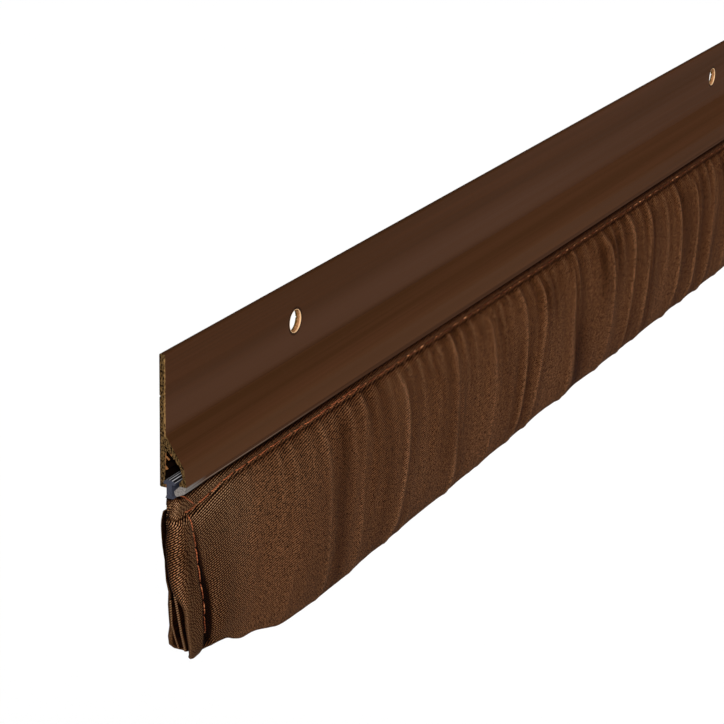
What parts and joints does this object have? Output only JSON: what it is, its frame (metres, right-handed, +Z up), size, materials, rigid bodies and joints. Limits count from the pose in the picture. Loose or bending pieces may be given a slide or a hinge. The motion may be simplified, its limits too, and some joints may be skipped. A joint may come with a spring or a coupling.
{
  "type": "door bottom seal",
  "caption": "Brown door bottom seal: an extruded plastic carrier strip that screws to a door's face, with a gathered fabric sleeve hanging from a keder that slides along its lower channel.",
  "frame": {"origin": "in the carrier's back face, on the line of the screw holes, at the middle of the length", "axes": "+X runs along the seal, the front faces -Y, +Y points into the door, and +Z is up"},
  "size_m": [1.0014, 0.0118, 0.0826],
  "materials": {
    "carrier_plastic": "satin, extruded",
    "lip_rubber": "matt, soft co-extrusion",
    "keder_plastic": "satin, extruded",
    "sleeve_fabric": "twill weave with contrasting topstitching"
  },
  "bodies": {
    "carrier": {"carrier_profile": "carrier_plastic", "soft_lip": "lip_rubber"},
    "seal": {"keder_strip": "keder_plastic", "fabric_sleeve": "sleeve_fabric"}
  },
  "joints": [
    {"name": "seal_slide", "type": "slide", "parent": "carrier", "child": "seal", "axis": [1, 0, 0], "range_m": [-0.9, 0.9]}
  ]
}
